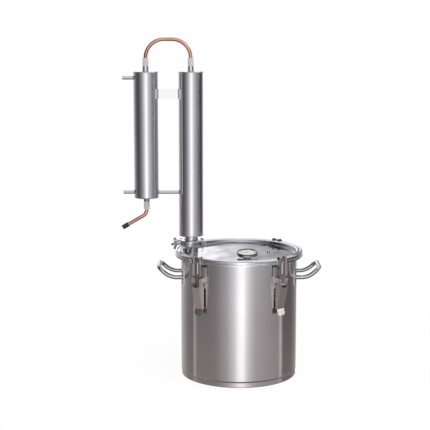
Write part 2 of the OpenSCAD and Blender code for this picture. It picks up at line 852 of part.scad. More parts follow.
module clamp_bolt() {
    eye_h = lug_clear_h - 2 * lug_gap;
    color(steel) at_clamp() translate([-clamp_bolt_off, 0, 0]) difference() {
        union() {
            translate([0, bolt_pivot_y, -eye_h / 2]) cylinder(r = clamp_pin_r + 2.4, h = eye_h);
            rod([0, bolt_pivot_y, 0], [0, bolt_end_y, 0], bolt_r);
        }
        translate([0, bolt_pivot_y, -clamp_h]) cylinder(r = clamp_pin_r, h = 2 * clamp_h);
    }
}

// Wing nut with its axis along +Z and its seat at 0
module wing_nut_shape() {
    wing_t = 2.6;
    wing_tip_r = 4.4;
    tip = [wing_reach - wing_tip_r, nut_l + 4.5];
    difference() {
        union() {
            cylinder(r = nut_r, h = nut_l * 0.55);
            cylinder(r = nut_r - 1, h = nut_l);
            for (turn = [0, 180])
                rotate([0, 0, turn]) rotate([90, 0, 0]) linear_extrude(wing_t, center = true) {
                    translate(tip) circle(r = wing_tip_r);
                    polygon([[bolt_r + 1, 1.2], [nut_r, 1.2], [wing_reach - 0.6, tip.y - 2],
                        [tip.x - 3.4, tip.y + 2.8], [bolt_r + 1, nut_l]]);
                }
        }
        translate([0, 0, -over]) cylinder(r = bolt_r + pin_play, h = 3 * nut_l);
    }
}

module wing_nut() {
    color(bright) at_clamp() translate([-clamp_bolt_off, seat_y - lug_gap, 0])
        rotate([90, 0, 0]) rotate([0, 0, 90]) wing_nut_shape();
}

// An end cap with a rounded outer edge and a hole, from 0 up
module end_cap(r, hole_r) {
    color(bright) difference() {
        rotate_extrude() translate([0, cap_t]) mirror([0, 1]) cup_section(r, 0, cap_t, cap_edge);
        translate([0, 0, -over]) cylinder(r = hole_r, h = cap_t + 2 * over);
    }
}

module column_tube() {
    color(steel) translate([column_x, 0, foot_z + cap_t]) pipe(column_r, column_in_r, column_l - 2 * cap_t);
}

module column_foot_cap() {
    translate([column_x, 0, foot_z + cap_t]) mirror([0, 0, 1]) end_cap(column_r, ferrule_bore_r);
}

module column_top_cap() {
    translate([column_x, 0, top_z - cap_t]) end_cap(column_r, stub_r);
}

module vapour_stubs() {
    color(bright)
        for (x = [column_x, condenser_x])
            translate([x, 0, top_z]) difference() {
                union() {
                    translate([0, 0, -cap_t]) cylinder(r = stub_r, h = cap_t + stub_l);
                    cylinder(r = collar_d / 2, h = stub_collar_h);
                }
                translate([0, 0, -cap_t - over]) cylinder(r = stub_r - stub_t, h = cap_t + stub_l + 2 * over);
            }
}

module packing_screen() {
    pitch = screen_hole_d * 1.6;
    rows = floor((column_in_r - screen_hole_d) / pitch);
    color(bright) translate([column_x, 0, foot_z + screen_h]) difference() {
        cylinder(r = column_in_r, h = screen_t);
        for (i = [-rows : rows], j = [-rows : rows])
            if (norm([i, j]) * pitch + screen_hole_d < column_in_r)
                translate([i * pitch, j * pitch, -over]) cylinder(d = screen_hole_d, h = screen_t + 2 * over);
    }
}

module copper_packing() {
    wraps = 4;
    color(copper) translate([column_x, 0, foot_z + screen_h + screen_t])
        for (i = [1 : wraps]) {
            wrap_r = (column_in_r - over) * i / wraps;
            pipe(wrap_r, wrap_r - packing_t, packing_l);
        }
}

module condenser_shell() {
    color(steel) difference() {
        translate([condenser_x, 0, condenser_foot_z + cap_t])
            pipe(condenser_r, condenser_in_r, condenser_l - 2 * cap_t);
        for (z = water_zs)
            rod([condenser_x, 0, z], [condenser_x - condenser_r - over, 0, z], water_root_r);
    }
}

module condenser_foot_cap() {
    translate([condenser_x, 0, condenser_foot_z + cap_t]) mirror([0, 0, 1]) end_cap(condenser_r, stub_r);
}

module condenser_top_cap() {
    translate([condenser_x, 0, top_z - cap_t]) end_cap(condenser_r, stub_r);
}

module condenser_outlet() {
    bore_r = stub_r - stub_t;
    color(bright) translate([condenser_x, 0, outlet_end_z]) {
        pipe(stub_r, bore_r, condenser_foot_z + cap_t - outlet_end_z);
        translate([0, 0, outlet_l]) pipe(collar_d / 2, bore_r, collar_h);
    }
}

module at_cool_spots() {
    for (spot = cool_spots)
        translate([condenser_x + spot.x, spot.y, 0]) children();
}

module cooling_tubes() {
    color(steel) at_cool_spots() translate([0, 0, lower_plate_z])
        pipe(cool_r, cool_r - cool_t, upper_plate_z + tube_plate_t - lower_plate_z);
}

module tube_plates() {
    color(steel) difference() {
        for (z = [lower_plate_z, upper_plate_z])
            translate([condenser_x, 0, z]) cylinder(r = condenser_in_r, h = tube_plate_t);
        at_cool_spots() translate([0, 0, lower_plate_z - over]) cylinder(r = cool_r, h = condenser_l);
    }
}

module baffles() {
    color(steel) difference() {
        for (i = [1 : baffle_n])
            translate([condenser_x, 0, lower_plate_z + i * baffle_step]) rotate([0, 0, i * 180]) difference() {
                cylinder(r = condenser_in_r - baffle_play, h = baffle_t);
                translate([baffle_cut, -condenser_r, -over]) cube([condenser_r, condenser_d, baffle_t + 2 * over]);
            }
        at_cool_spots() translate([0, 0, lower_plate_z - over]) cylinder(r = cool_r + baffle_play, h = condenser_l);
    }
}

module water_nozzles() {
    inner_x = condenser_x - condenser_in_r;
    root_x = condenser_x - condenser_r - water_root_w;
    outer_x = condenser_x - condenser_r - water_l;
    color(bright)
        for (z = water_zs) difference() {
            union() {
                rod([inner_x, 0, z], [root_x - 2, 0, z], water_root_r);
                rod([root_x, 0, z], [outer_x, 0, z], water_r);
            }
            rod([inner_x + over, 0, z], [outer_x - over, 0, z], water_r - water_t);
        }
}

module both_tubes(grow) {
    for (spot = [[column_x, column_r], [condenser_x, condenser_r]])
        translate([spot.x, 0, condenser_foot_z]) cylinder(r = spot.y + grow, h = condenser_l);
}

module lower_brace() {
    color(bright) difference() {
        rod([condenser_x + condenser_in_r, 0, water_zs[1]], [column_x - column_in_r, 0, water_zs[1]], brace_d / 2);
        both_tubes(0);
    }
}

module upper_bracket() {
    z0 = top_z - bracket_drop - bracket_h;
    saddle_y = (column_r + bracket_t) * sin(saddle_turn / 2);
    color(bright) difference() {
        union() {
            translate([condenser_x, -bracket_t / 2, z0]) cube([condenser_gap, bracket_t, bracket_h]);
            intersection() {
                both_tubes(bracket_t);
                translate([condenser_x, -saddle_y, z0]) cube([condenser_gap, 2 * saddle_y, bracket_h]);
            }
        }
        both_tubes(0);
    }
}

module copper_arch() {
    crown_h = arch_z + arch_bend;
    feet = [[column_x, 0, arch_foot_z], [column_x, 0, crown_h], [condenser_x, 0, crown_h],
        [condenser_x, 0, arch_foot_z]];
    color(copper) bent_pipe(feet, [arch_bend, arch_bend], copper_r, copper_r - copper_t);
}

// A soft sleeve over a stub of one size and a copper pipe of another, from 0 up
module sleeve(l, stub_depth) {
    color(silicone) difference() {
        cylinder(r = sleeve_r, h = l);
        translate([0, 0, -over]) cylinder(r = sleeve_bore_r, h = stub_depth + over);
        cylinder(r = copper_r, h = l + over);
    }
}

module arch_sleeves() {
    for (x = [column_x, condenser_x])
        translate([x, 0, stub_sleeve_z]) sleeve(arch_sleeve_l, arch_foot_z - stub_sleeve_z);
}

module copper_spout() {
    points = [[condenser_x, 0, spout_start_z], spout_knee, spout_end];
    color(copper) bent_pipe(points, [spout_bend], copper_r, copper_r - copper_t);
}

module outlet_sleeve() {
    translate([condenser_x, 0, collar_z - sleeve_gap]) mirror([0, 0, 1])
        sleeve(outlet_sleeve_l, outlet_l + pipe_gap - sleeve_gap);
}

module spout_cap() {
    end = spout_end + spout_dir * (spout_cap_t + lug_gap);
    color(black) difference() {
        rod(end - spout_dir * spout_cap_l, end, spout_cap_d / 2);
        rod(end - spout_dir * (spout_cap_l + over), end - spout_dir * spout_cap_t, copper_r + pin_play);
    }
}

module at_dial() {
    translate([dial_x, -dial_y, plate_z + case_stand]) rotate([dial_tilt, 0, 0]) children();
}

module thermometer_stem() {
    color(steel) difference() {
        translate([dial_x, -dial_y, 0]) {
            translate([0, 0, plate_under_z - stem_l]) cylinder(d = stem_d, h = stem_l + lid_t);
            translate([0, 0, plate_under_z - shank_l]) cylinder(d = shank_d, h = shank_l + lid_t);
            translate([0, 0, plate_z]) cylinder(d = stem_collar_d, h = case_stand + case_r);
        }
        at_dial() translate([-case_r, -case_r, 0]) cube(case_d);
    }
}

module thermometer_nut() {
    color(bright) translate([dial_x, -dial_y, plate_under_z - stem_nut_h]) difference() {
        cylinder(d = stem_nut_w / cos(30), h = stem_nut_h, $fn = 6);
        translate([0, 0, -over]) cylinder(d = shank_d, h = stem_nut_h + 2 * over);
    }
}

module thermometer_case() {
    color(dark_steel) at_dial() rotate_extrude() difference() {
        cup_section(case_r, 0, case_h, case_t * 1.5);
        translate([0, case_t]) square([case_r - case_t, case_h]);
    }
}

module thermometer_bezel() {
    edge = 1.2;
    color(dark_steel) at_dial() translate([0, 0, bezel_z]) rotate_extrude() difference() {
        translate([0, bezel_h]) mirror([0, 1]) cup_section(case_r, 0, bezel_h, edge);
        translate([0, -over]) square([case_r - case_t, lens_t + over]);
        translate([0, -over]) square([case_r - bezel_lip, bezel_h + 2 * over]);
    }
}

module thermometer_lens() {
    color(glass) at_dial() translate([0, 0, bezel_z]) cylinder(r = case_r - case_t - dial_play, h = lens_t);
}

module thermometer_dial() {
    color(white) at_dial() translate([0, 0, dial_h]) pipe(dial_r, needle_shaft_d / 2 + pin_play, dial_t);
}

module thermometer_needle() {
    color(black) at_dial() {
        translate([0, 0, case_t + over]) cylinder(d = needle_shaft_d, h = needle_z - case_t - over);
        translate([0, 0, needle_z]) linear_extrude(needle_t) {
            circle(r = needle_hub_r);
            polygon([[-needle_l, -needle_tip_r], [0, -needle_arm_r], [6, -needle_arm_r], [6, needle_arm_r],
                [0, needle_arm_r], [-needle_l, needle_tip_r]]);
        }
    }
}

module relief_plug() {
    edge = 1.5;
    color(bright) translate([plug_x, plug_y, plate_z]) {
        rotate_extrude() translate([0, plug_h]) mirror([0, 1]) cup_section(plug_d / 2, 0, plug_h, edge);
        translate([0, 0, -lid_t - plug_shank_l]) cylinder(d = plug_shank_d, h = lid_t + plug_shank_l);
    }
}

// A bore across a latch, through both its sides
module latch_bore(u, z, r) {
    translate([u, 0, z]) rotate([90, 0, 0]) cylinder(r = r, h = 4 * hook_w, center = true);
}

module latch_base() {
    root = 1.6 * ear_r;
    difference() {
        union() {
            translate([0, 0, latch_base_z]) wall_sheet(latch_base_w, latch_base_h, ear_t);
            for (s = [-1, 1])
                upright(ear_t, s * (ear_in + ear_t / 2)) {
                    translate([pivot_u, pivot_z]) circle(r = ear_r);
                    polygon([[shell_in_r - ear_t, pivot_z - root], [pivot_u, pivot_z - ear_r],
                        [pivot_u, pivot_z + ear_r], [shell_in_r - ear_t, pivot_z + root]]);
                }
        }
        translate([0, 0, base_h]) cylinder(r = shell_r, h = mouth_h);
        latch_bore(pivot_u, pivot_z, pin_r);
    }
}

module latch_bases() {
    color(steel) difference() {
        for (side = latch_names)
            at_latch(side) latch_base();
        rivet_shanks(rivet_r);
    }
}

// Two short pivots of one latch, each from the lever's side out through an ear
module latch_pivots() {
    reach = ear_out + pin_play;
    color(bright)
        for (side = latch_names, s = [-1, 1])
            at_latch(side) {
                rod([pivot_u, s * lever_in, pivot_z], [pivot_u, s * reach, pivot_z], pin_r);
                rod([pivot_u, s * reach, pivot_z], [pivot_u, s * (reach + pin_head_h), pivot_z], pin_head_r);
            }
}

// One side of the lever: eyes for pivot and draw pin, and a side that gets shallower towards its foot
module lever_cheek() {
    eye = pin_r + 2.6;
    translate([pivot_u, pivot_z]) circle(r = eye);
    translate([draw_u, draw_z]) circle(r = eye);
    polygon([[pivot_u - eye, pivot_z], [pivot_u + eye, pivot_z], lever_top + [lever_t / 2, 0],
        lever_foot + [lever_t / 2, 0], [lever_back, lever_foot.y], [lever_back, lever_top.y]]);
}

// Thumb tab with round corners, bent outwards from the lever's foot
module lever_tab() {
    along = unit([tab_end.x - lever_foot.x, 0, tab_end.y - lever_foot.y]);
    out = cross([0, 1, 0], along);
    reach = norm(tab_end - lever_foot);
    half = lever_end_w / 2;
    multmatrix(frame([lever_foot.x, 0, lever_foot.y], [0, 1, 0], -out)) linear_extrude(lever_t) {
        translate([-half, tab_corner - reach]) square([lever_end_w, reach - tab_corner + over]);
        translate([tab_corner - half, -reach]) square([lever_end_w - 2 * tab_corner, 2 * tab_corner]);
        for (s = [-1, 1])
            translate([s * (half - tab_corner), tab_corner - reach]) circle(r = tab_corner);
    }
}

module latch_lever(side) {
    color(bright) at_latch(side) difference() {
        union() {
            for (s = [-1, 1])
                upright(lever_t, s * (lever_half - lever_t / 2)) lever_cheek();
            upright(2 * lever_half, 0)
                polygon([lever_top, lever_foot, lever_foot + [lever_t * 1.3, 0], lever_top + [lever_t, 0]]);
            lever_tab();
        }
        latch_bore(pivot_u, pivot_z, pin_r + pin_play);
        latch_bore(draw_u, draw_z, pin_r);
    }
}

module latch_pin(side) {
    color(bright) at_latch(side) {
        rod([draw_u, -lever_half, draw_z], [draw_u, lever_half, draw_z], pin_r);
        for (s = [-1, 1])
            rod([draw_u, s * lever_half, draw_z], [draw_u, s * (lever_half + pin_head_h), draw_z], pin_head_r);
    }
}

// Outline of the hook's plate, seen from outside
module hook_outline() {
    half = hook_w / 2;
    polygon([[-tongue_half, draw_z], [tongue_half, draw_z], [tongue_half, flare_z], [half, flare_z + flare_h],
        [half, lip_z + hook_t], [-half, lip_z + hook_t], [-half, flare_z + flare_h], [-tongue_half, flare_z]]);
}

module hook_rib() {
    rib_u = hook_out_u + 2.2 - hook_rib_r;
    z0 = flare_z + flare_h + hook_rib_r;
    z1 = rim_z - 2 * hook_rib_r;
    intersection() {
        translate([rib_u, 0, 0]) capsule(z0, z1, hook_rib_r);
        translate([hook_u + hook_t / 2, -hook_rib_r, z0 - hook_rib_r])
            cube([2 * hook_rib_r, 2 * hook_rib_r, z1 - z0 + 2 * hook_rib_r]);
    }
}

module latch_hook(side) {
    half = hook_w / 2;
    knuckle_w = half - knuckle_r - 0.9;
    knuckle_z = lip_z + knuckle_r + 0.2;
    knuckle_u = hook_u + knuckle_r + 0.2;
    flange_z = flare_z + flare_h;
    lip_u = hook_u - lip_reach;
    notch = [lip_reach * 0.6, 12];
    color(steel) at_latch(side) difference() {
        union() {
            translate([hook_u, 0, 0]) rotate([90, 0, 90]) linear_extrude(hook_t) hook_outline();
            rod([draw_u, -tongue_half, draw_z], [draw_u, tongue_half, draw_z], eye_r);
            translate([lip_u, -half, lip_z]) cube([lip_reach + hook_t, hook_w, hook_t]);
            hook_rib();
            for (s = [-1, 1]) {
                translate([hook_u, s > 0 ? half - hook_t : -half, flange_z])
                    cube([hook_flange, hook_t, rim_z - flange_z]);
                bent_bar([[lip_u, s * knuckle_w, knuckle_z], [knuckle_u, s * knuckle_w, knuckle_z],
                    [knuckle_u, s * knuckle_w, rim_z - skirt_h]], [knuckle_r * 1.2], knuckle_r);
            }
        }
        latch_bore(draw_u, draw_z, pin_r + pin_play);
        translate([lip_u - over, -notch.y / 2, lip_z - over]) cube([notch.x + over, notch.y, hook_t + 2 * over]);
    }
}

boiler_shell();
base_cap();
base_core();
handle(180);  // handle_left
handle(0);  // handle_right
handle_plates();
rivets();
lid();
lid_gasket();
lid_ferrule();
clamp_gasket();
clamp_half_front();
clamp_half_rear();
clamp_pins();
clamp_bolt();
wing_nut();
column_ferrule();
column_tube();
column_foot_cap();
column_top_cap();
vapour_stubs();
packing_screen();
copper_packing();
condenser_shell();
condenser_foot_cap();
condenser_top_cap();
condenser_outlet();
cooling_tubes();
tube_plates();
baffles();
water_nozzles();
lower_brace();
upper_bracket();
copper_arch();
arch_sleeves();
copper_spout();
outlet_sleeve();
spout_cap();
thermometer_stem();
thermometer_nut();
thermometer_case();
thermometer_bezel();
thermometer_lens();
thermometer_dial();
thermometer_needle();
relief_plug();
latch_bases();
latch_pivots();
for (side = latch_names) {
    latch_lever(side);
    latch_hook(side);
    latch_pin(side);
}
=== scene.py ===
import math

import bmesh
import bpy
from mathutils import Matrix, Vector


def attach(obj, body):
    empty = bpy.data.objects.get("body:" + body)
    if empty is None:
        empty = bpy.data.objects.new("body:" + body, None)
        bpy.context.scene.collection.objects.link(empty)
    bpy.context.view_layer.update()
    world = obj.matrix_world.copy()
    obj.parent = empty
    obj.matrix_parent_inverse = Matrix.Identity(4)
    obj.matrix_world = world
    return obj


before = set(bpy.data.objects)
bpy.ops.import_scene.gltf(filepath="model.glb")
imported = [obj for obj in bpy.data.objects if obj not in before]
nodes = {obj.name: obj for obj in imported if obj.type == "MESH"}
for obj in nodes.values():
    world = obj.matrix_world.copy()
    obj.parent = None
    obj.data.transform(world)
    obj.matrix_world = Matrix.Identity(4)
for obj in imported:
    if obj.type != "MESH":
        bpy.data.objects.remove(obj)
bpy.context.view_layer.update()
mm = 0.001
pureWhite = (1, 1, 1, 1)
print("frame loaded:", len(nodes), "nodes")


class Wire:  # one shader socket that can stand in a sum
    def __init__(self, finish, socket):
        self.finish = finish
        self.socket = socket

    def maths(self, operation, first, second):
        return self.finish.add("ShaderNodeMath", {"operation": operation}, {0: first, 1: second})

    def __add__(self, other):
        return self.maths("ADD", self, other)

    def __radd__(self, other):
        return self.maths("ADD", other, self)

    def __rsub__(self, other):
        return self.maths("SUBTRACT", other, self)

    def __mul__(self, other):
        return self.maths("MULTIPLY", self, other)

    def __truediv__(self, other):
        return self.maths("DIVIDE", self, other)


class Finish:  # one node tree under construction
    def __init__(self, tree):
        self.tree = tree
        self.tree.nodes.clear()

    def add(self, kind, settings=None, values=None, out=0):
        node = self.tree.nodes.new(kind)
        for key, value in (settings or {}).items():
            if key == "stops":
                ramp = node.color_ramp.elements
                while len(ramp) < len(value):
                    ramp.new(0.5)
                for stop, (place, shade) in zip(ramp, value):
                    stop.position = place
                    stop.color = opaque(shade)
            else:
                setattr(node, key, value)
        for key, value in (values or {}).items():
            if isinstance(value, Wire):
                self.tree.links.new(value.socket, node.inputs[key])
            else:
                node.inputs[key].default_value = value
        return Wire(self, node.outputs[out]) if node.outputs else None

    def place(self):
        return self.add("ShaderNodeTexCoord", out="Object")

    def noise(self, scale, stretch=(1, 1, 1), detail=3.0, rough=0.55):
        spot = self.add("ShaderNodeMapping", values={"Vector": self.place(), "Scale": stretch})
        values = {"Vector": spot, "Scale": scale, "Detail": detail, "Roughness": rough}
        return self.add("ShaderNodeTexNoise", values=values)

    def blend(self, factor, first, second):
        values = {"Factor": factor, 6: first, 7: second}
        return self.add("ShaderNodeMix", {"data_type": "RGBA"}, values, out=2)

    def smooth(self, value, first, second, low=0.0, high=1.0):  # low at the first value, high at the second
        values = {0: value, 1: first, 2: second, 3: low, 4: high}
        return self.add("ShaderNodeMapRange", {"interpolation_type": "SMOOTHSTEP"}, values)

    def bump(self, height, strength, distance, under=None):
        values = {"Height": height, "Strength": strength, "Distance": distance}
        if under:
            values["Normal"] = under
        return self.add("ShaderNodeBump", values=values)

    def principled(self, values):
        shader = self.add("ShaderNodeBsdfPrincipled", values=values)
        self.add("ShaderNodeOutputMaterial", values={"Surface": shader})


def newFinish(name):
    material = bpy.data.materials.new(name)
    material.use_nodes = True
    return material, Finish(material.node_tree)


def opaque(colour):
    return tuple(colour) + (1,)


def tint(colour, factor):
    return opaque(min(1, part * factor) for part in colour)


steels = {  # marks and run: the grinding, wave: the sheet's waviness in mm, metal: the share of bare metal
    "boilerSteel": {"colour": (0.610, 0.592, 0.605), "rough": 0.17, "marks": 0.05, "run": (3, 3, 420),
                    "wave": 0.10, "brush": 0.7},
    "tubeSteel": {"colour": (0.612, 0.607, 0.640), "rough": 0.15, "marks": 0.04, "run": (6, 6, 500),
                  "wave": 0.03, "brush": 0.6},
    "lidSteel": {"colour": (0.615, 0.610, 0.645), "rough": 0.10, "marks": 0.02, "run": (40, 40, 40),
                 "wave": 3.2, "flatAbove": 0.3186},
    "capSteel": {"colour": (0.600, 0.595, 0.625), "rough": 0.17, "marks": 0.02, "run": (40, 40, 40), "wave": 0.05},
    "brightSteel": {"colour": (0.610, 0.605, 0.630), "rough": 0.15, "marks": 0.03, "run": (60, 60, 60), "wave": 0.05},
    # painted shade: the hooks' steel is darker than the rest so they look as dark as what they mirror
    "paintedShadeHookSteel": {"colour": (0.440, 0.398, 0.414), "rough": 0.17, "marks": 0.05, "run": (90, 90, 90), "wave": 0.10},
    "leverSteel": {"colour": (0.505, 0.442, 0.438), "rough": 0.25, "marks": 0.04, "run": (90, 90, 90),
                   "wave": 0.10, "metal": 0.85},
    "baseSteel": {"colour": (0.560, 0.525, 0.530), "rough": 0.40, "marks": 0.06, "run": (90, 90, 90), "metal": 0.45},
    "bracketSteel": {"colour": (0.70, 0.70, 0.71), "rough": 0.24, "marks": 0.03, "run": (60, 60, 60)},
    "rimSteel": {"colour": (0.620, 0.575, 0.555), "rough": 0.22, "marks": 0.03, "run": (6, 6, 300), "wave": 0.05},
    "handleSteel": {"colour": (0.500, 0.490, 0.500), "rough": 0.12, "marks": 0.03, "run": (60, 60, 60), "wave": 0.05},
    # painted shade: a darker copy of the steel for the condenser outlet, which sits in shade
    "paintedShadeOutletSteel": {"colour": (0.300, 0.290, 0.300), "rough": 0.16, "marks": 0.04, "run": (60, 60, 60)},
    "neckSteel": {"colour": (0.600, 0.595, 0.620), "rough": 0.08, "marks": 0.02, "run": (6, 6, 500)},
    # painted reflection: the polished bezel's steel is near black to give the dark surroundings it mirrors
    "paintedReflectionBezelSteel": {"colour": (0.170, 0.165, 0.175), "rough": 0.09, "marks": 0.02, "run": (80, 80, 80)},
    "weldSteel": {"colour": (0.480, 0.455, 0.440), "rough": 0.34, "marks": 0.25, "run": (700, 700, 700), "metal": 0.9},
}
steelLook = {"cloud": 9.0, "smear": 45.0, "swell": 15.0, "dark": 0.94, "light": 1.05, "roughLeast": 0.70,
             "roughGrain": 0.25, "roughSmear": 0.35, "markDepth": 0.0004, "brushTurn": 0.25, "flatEdge": 0.001}


def steel(name, colour, rough, marks, run, wave=0.0, brush=0.0, metal=1.0, flatAbove=None):
    material, make = newFinish(name)
    look = steelLook
    grain = make.noise(1.0, run, detail=4.0)
    cloud = make.noise(look["cloud"], detail=2.0)
    smear = make.noise(look["smear"], detail=5.0, rough=0.62)
    unevenness = grain * (rough * look["roughGrain"]) + smear * (rough * look["roughSmear"])
    dents = None
    if wave:
        swell = make.noise(look["swell"], detail=1.0)
        if flatAbove:  # only the plate under this height is wavy
            upward = make.add("ShaderNodeSeparateXYZ", values={0: make.place()}, out="Z")
            limits = {0: upward, 1: flatAbove, 2: flatAbove + look["flatEdge"], 3: 1.0, 4: 0.0}
            swell = swell * make.add("ShaderNodeMapRange", values=limits)
        dents = make.bump(swell, 1.0, wave * mm)
    make.principled({
        "Base Color": make.blend(cloud, tint(colour, look["dark"]), tint(colour, look["light"])),
        "Metallic": metal,
        "Roughness": rough * look["roughLeast"] + unevenness,
        "Anisotropic": brush,
        "Anisotropic Rotation": look["brushTurn"] if brush else 0.0,
        "Normal": make.bump(grain, marks, look["markDepth"], dents)})
    return material


copperFacts = {"bright": (0.74, 0.41, 0.33), "dull": (0.54, 0.24, 0.18), "cloud": 26.0, "run": (300, 300, 30),
               "tarnish": [(0.42, (0, 0, 0)), (0.7, (1, 1, 1))], "rough": (0.16, 0.14), "bump": (0.04, 0.0003)}


def copperFinish():
    facts = copperFacts
    material, make = newFinish("drawnCopper")
    cloud = make.noise(facts["cloud"], detail=4.0)
    streak = make.noise(1.0, facts["run"], detail=3.0)
    tarnish = make.add("ShaderNodeValToRGB", {"stops": facts["tarnish"]}, {"Fac": cloud})
    least, spread = facts["rough"]
    make.principled({"Base Color": make.blend(tarnish, opaque(facts["bright"]), opaque(facts["dull"])),
                     "Metallic": 1.0, "Roughness": least + cloud * spread,
                     "Normal": make.bump(streak, *facts["bump"])})
    return material


def cloudyFinish(name, scale, detail, colours, rough, bump, alpha=None):  # rough and alpha: least value and spread
    material, make = newFinish(name)
    cloud = make.noise(scale, detail=detail)
    values = {"Base Color": make.blend(cloud, *colours), "Roughness": rough[0] + cloud * rough[1],
              "Normal": make.bump(cloud, *bump)}
    if alpha:
        values["Alpha"] = alpha[0] + cloud * alpha[1]
    make.principled(values)
    return material


def siliconeFinish():
    colours = (0.66, 0.652, 0.67, 1), (0.72, 0.712, 0.73, 1)
    return cloudyFinish("clearSilicone", 60.0, 2.0, colours, (0.28, 0.1), (0.05, 0.0003), alpha=(0.68, 0.08))


def rubberFinish():
    colours = (0.012, 0.012, 0.013, 1), (0.035, 0.034, 0.034, 1)
    return cloudyFinish("blackRubber", 180.0, 3.0, colours, (0.42, 0.2), (0.12, 0.0002))


def paintFinish(name, colour, rough):
    colours = tint(colour, 0.93), tint(colour, 1.04)
    return cloudyFinish(name, 220.0, 2.0, colours, (rough, 0.08), (0.03, 0.0001))


def lensFinish():
    material, make = newFinish("lensGlass")
    make.principled({"Base Color": (0.97, 0.985, 0.99, 1), "Roughness": 0.03, "IOR": 1.45,
                     "Transmission Weight": 1.0})
    return material


finishes = {name: steel(name, **facts) for name, facts in steels.items()}
finishes["copper"] = copperFinish()
finishes["silicone"] = siliconeFinish()
finishes["rubber"] = rubberFinish()
finishes["dialWhite"] = paintFinish("dialWhite", (0.86, 0.77, 0.74), 0.45)
finishes["needleBlack"] = paintFinish("needleBlack", (0.02, 0.02, 0.02), 0.4)
finishes["dialRed"] = paintFinish("dialRed", (0.62, 0.16, 0.15), 0.45)
finishes["alloy"] = paintFinish("plainAlloy", (0.62, 0.63, 0.64), 0.4)
finishes["lens"] = lensFinish()

wearers = {  # finish to the nodes that wear it
    "boilerSteel": ["boiler_shell"],
    "tubeSteel": ["column_tube", "condenser_shell", "clamp_bolt", "clamp_pins", "cooling_tubes", "tube_plates",
                  "baffles"],
    "lidSteel": ["lid"],
    "rimSteel": ["base_cap"],
    "capSteel": ["column_foot_cap", "column_top_cap", "condenser_foot_cap", "condenser_top_cap"],
    "neckSteel": ["lid_ferrule", "column_ferrule", "vapour_stubs"],
    "brightSteel": ["clamp_half_front", "clamp_half_rear", "water_nozzles", "lower_brace", "packing_screen",
                    "relief_plug", "thermometer_stem", "thermometer_nut", "thermometer_case"],
    "handleSteel": ["handle_left", "handle_right", "handle_plates", "rivets"],
    "baseSteel": ["latch_bases"],
    "bracketSteel": ["upper_bracket", "wing_nut"],
    # painted shade: the outlet wears the darker copy of the steel
    "paintedShadeOutletSteel": ["condenser_outlet"],
    "copper": ["copper_arch", "copper_spout", "copper_packing"],
    "silicone": ["arch_sleeves", "outlet_sleeve", "lid_gasket", "clamp_gasket"],
    "rubber": ["spout_cap"],
    # painted reflection: the bezel wears the near-black copy of the steel
    "paintedReflectionBezelSteel": ["thermometer_bezel"],
    "dialWhite": ["thermometer_dial"],
    "needleBlack": ["thermometer_needle"],
    "alloy": ["base_core"],
    "lens": ["thermometer_lens"],
}
wearers["leverSteel"] = [name for name in nodes if name.startswith(("latch_lever", "latch_pin", "latch_pivots"))]
# painted shade: the hooks wear the darkened copy of the steel
wearers["paintedShadeHookSteel"] = [name for name in nodes if name.startswith("latch_hook")]

for finish, names in wearers.items():
    for name in names:
        nodes[name].data.materials.clear()
        nodes[name].data.materials.append(finishes[finish])
print("finishes made:", len(finishes))

mergeGap = 1e-7  # m


def newPiece(name, bm, finish, body, smooth=True):
    bmesh.ops.remove_doubles(bm, verts=bm.verts, dist=mergeGap)
    bmesh.ops.recalc_face_normals(bm, faces=bm.faces)
    for face in bm.faces:
        face.smooth = smooth
    mesh = bpy.data.meshes.new(name)
    bm.to_mesh(mesh)
    bm.free()
    mesh.materials.append(finishes[finish])
    piece = bpy.data.objects.new(name, mesh)
    bpy.context.scene.collection.objects.link(piece)
    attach(piece, body)


joinSpots = {"columnX": -123.5, "condenserX": -238.0, "tubeR": 31.25, "topZ": 786.0, "columnFootZ": 364.0,
             "condenserFootZ": 463.0, "plateZ": 318.0, "pipeZs": (770.0, 477.5), "legZ": 262.5, "legY": 43.0,
             "shellR": 150.0, "plateR": 151.9}  # mm
ringRadii = {"ferrule": 16.9, "stub": 7.6, "pipe": 4.9, "leg": 5.75}  # mm
ringShifts = {"off": 0.2, "into": 0.1, "seamIn": 2.5, "seamSunk": 0.15}  # mm from the face or the tube's end
beads = {  # a bead's half thickness in mm and the number of ripples round it
    "pipe": (1.0, 26), "ferrule": (1.3, 60), "leg": (1.1, 30), "seam": (0.35, 150)}
beadShape = {"sides": 10, "leastSteps": 48, "stepsPerRipple": 3, "swell": 0.10, "lean": 2.2}


def ringInto(bm, centre, toward, radius, kind):  # all in mm
    thick, ripples = beads[kind]
    shape = beadShape
    before = set(bm.verts)
    loop = bmesh.ops.create_circle(bm, segments=shape["sides"], radius=thick)["verts"]
    bmesh.ops.rotate(bm, verts=loop, matrix=Matrix.Rotation(math.pi / 2, 3, "X"))
    bmesh.ops.translate(bm, verts=loop, vec=(radius, 0, 0))
    edges = list({edge for vert in loop for edge in vert.link_edges})
    steps = max(shape["leastSteps"], ripples * shape["stepsPerRipple"])
    bmesh.ops.spin(bm, geom=loop + edges, axis=(0, 0, 1), angle=2 * math.pi, steps=steps, use_merge=True)
    ring = [vert for vert in bm.verts if vert not in before]
    for vert in ring:
        phase = ripples * math.atan2(vert.co.y, vert.co.x) + shape["lean"] * vert.co.z / thick
        middle = Vector((vert.co.x, vert.co.y, 0)).normalized() * radius
        vert.co = middle + (vert.co - middle) * (1 + shape["swell"] * math.sin(phase))
    turn = Vector(toward).to_track_quat("Z", "Y").to_matrix().to_4x4()
    bmesh.ops.transform(bm, matrix=Matrix.Scale(mm, 4) @ Matrix.Translation(centre) @ turn, verts=ring)


